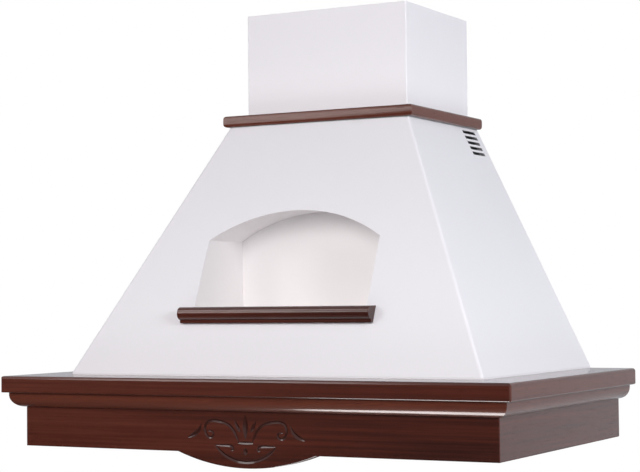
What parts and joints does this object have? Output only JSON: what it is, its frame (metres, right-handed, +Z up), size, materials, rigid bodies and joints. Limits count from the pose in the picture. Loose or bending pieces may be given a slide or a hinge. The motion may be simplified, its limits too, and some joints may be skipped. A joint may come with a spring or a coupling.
{
  "type": "range hood",
  "caption": "Wall-mounted chimney range hood: white sheet canopy with an arched niche, carved dark-wood cornice, blower with duct collar, hinged filters, lamps and push buttons.",
  "frame": {"origin": "on the wall plane, on the hood's middle line, at the level of the cornice's top", "axes": "+X to the hood's right as seen from the room, +Y into the wall, +Z up"},
  "size_m": [0.9, 0.55, 0.7479],
  "materials": {
    "white_enamel": "white powder coat, smooth satin",
    "galvanised": "bare galvanised sheet",
    "mahogany": "dark reddish-brown stained hardwood, satin lacquer",
    "filter_aluminium": "bright rolled aluminium",
    "dark_plastic": "fine-grained black plastic",
    "lamp_chrome": "bright plated trim",
    "lamp_glass": "lightly frosted glass",
    "bulb_glass": "frosted bulb",
    "zinc": "zinc-plated steel",
    "grey_plastic": "moulded grey plastic"
  },
  "bodies": {
    "hood": {"canopy_front": "white_enamel", "canopy_left": "white_enamel", "canopy_right": "white_enamel", "back_panel": "galvanised", "top_plate": "galvanised", "niche_liner": "white_enamel", "shelf_rail": "mahogany", "cornice_front": "mahogany", "cornice_left": "mahogany", "cornice_right": "mahogany", "ovolo_front": "mahogany", "ovolo_left": "mahogany", "ovolo_right": "mahogany", "apron_front": "mahogany", "apron_left": "mahogany", "apron_right": "mahogany", "crown_front": "mahogany", "crown_left": "mahogany", "crown_right": "mahogany", "chimney_lower": "white_enamel", "base_tray": "white_enamel", "lamp_bezel_left": "lamp_chrome", "lamp_bezel_right": "lamp_chrome", "lamp_lens_left": "lamp_glass", "lamp_lens_right": "lamp_glass", "lamp_holder_left": "zinc", "lamp_holder_right": "zinc", "lamp_bulb_left": "bulb_glass", "lamp_bulb_right": "bulb_glass", "control_bezel": "lamp_chrome", "switch_block": "dark_plastic", "volute_rear": "grey_plastic", "volute_front": "grey_plastic", "fan_motor": "zinc", "outlet_collar": "grey_plastic", "flap_spindle": "zinc", "electrics_box": "dark_plastic", "run_capacitor": "grey_plastic", "cable_gland": "dark_plastic", "canopy_screws": "zinc", "tray_screws": "zinc", "collar_screws": "zinc"},
    "impeller": {"impeller": "grey_plastic", "motor_shaft": "zinc"},
    "chimney_sleeve": {"chimney_upper": "white_enamel", "chimney_bracket": "galvanised"},
    "filter_left": {"filter_frame_left": "filter_aluminium", "filter_mesh_left": "filter_aluminium"},
    "filter_right": {"filter_frame_right": "filter_aluminium", "filter_mesh_right": "filter_aluminium"},
    "latch_left": {"filter_latch_left": "dark_plastic"},
    "latch_right": {"filter_latch_right": "dark_plastic"},
    "button_off": {"button_off": "dark_plastic"},
    "button_speed_1": {"button_speed_1": "dark_plastic"},
    "button_speed_2": {"button_speed_2": "dark_plastic"},
    "button_speed_3": {"button_speed_3": "dark_plastic"},
    "button_light": {"button_light": "dark_plastic"},
    "flap_left": {"check_flap_left": "grey_plastic"},
    "flap_right": {"check_flap_right": "grey_plastic"}
  },
  "joints": [
    {"name": "fan_spin", "type": "hinge", "parent": "hood", "child": "impeller", "pos_m": [0.0585, -0.124, 0.2], "axis": [0, -1, 0], "continuous": true},
    {"name": "chimney_slide", "type": "slide", "parent": "hood", "child": "chimney_sleeve", "axis": [0, 0, 1], "range_m": [0, 0.14]},
    {"name": "filter_left_tilt", "type": "hinge", "parent": "hood", "child": "filter_left", "pos_m": [-0.162, -0.06, -0.085], "axis": [1, 0, 0], "range_deg": [0, 70]},
    {"name": "filter_right_tilt", "type": "hinge", "parent": "hood", "child": "filter_right", "pos_m": [0.162, -0.06, -0.085], "axis": [1, 0, 0], "range_deg": [0, 70]},
    {"name": "latch_left_slide", "type": "slide", "parent": "filter_left", "child": "latch_left", "axis": [0, 1, 0], "range_m": [0, 0.007], "stiffness_N_per_m": 300},
    {"name": "latch_right_slide", "type": "slide", "parent": "filter_right", "child": "latch_right", "axis": [0, 1, 0], "range_m": [0, 0.007], "stiffness_N_per_m": 300},
    {"name": "button_off_press", "type": "slide", "parent": "hood", "child": "button_off", "axis": [0, 0, 1], "range_m": [0, 0.003], "stiffness_N_per_m": 400},
    {"name": "button_speed_1_press", "type": "slide", "parent": "hood", "child": "button_speed_1", "axis": [0, 0, 1], "range_m": [0, 0.003], "stiffness_N_per_m": 400},
    {"name": "button_speed_2_press", "type": "slide", "parent": "hood", "child": "button_speed_2", "axis": [0, 0, 1], "range_m": [0, 0.003], "stiffness_N_per_m": 400},
    {"name": "button_speed_3_press", "type": "slide", "parent": "hood", "child": "button_speed_3", "axis": [0, 0, 1], "range_m": [0, 0.003], "stiffness_N_per_m": 400},
    {"name": "button_light_press", "type": "slide", "parent": "hood", "child": "button_light", "axis": [0, 0, 1], "range_m": [0, 0.003], "stiffness_N_per_m": 400},
    {"name": "flap_left_swing", "type": "hinge", "parent": "hood", "child": "flap_left", "pos_m": [0, -0.124, 0.432], "axis": [0, 1, 0], "range_deg": [0, 75]},
    {"name": "flap_right_swing", "type": "hinge", "parent": "hood", "child": "flap_right", "pos_m": [0, -0.124, 0.432], "axis": [0, -1, 0], "range_deg": [0, 75]}
  ]
}
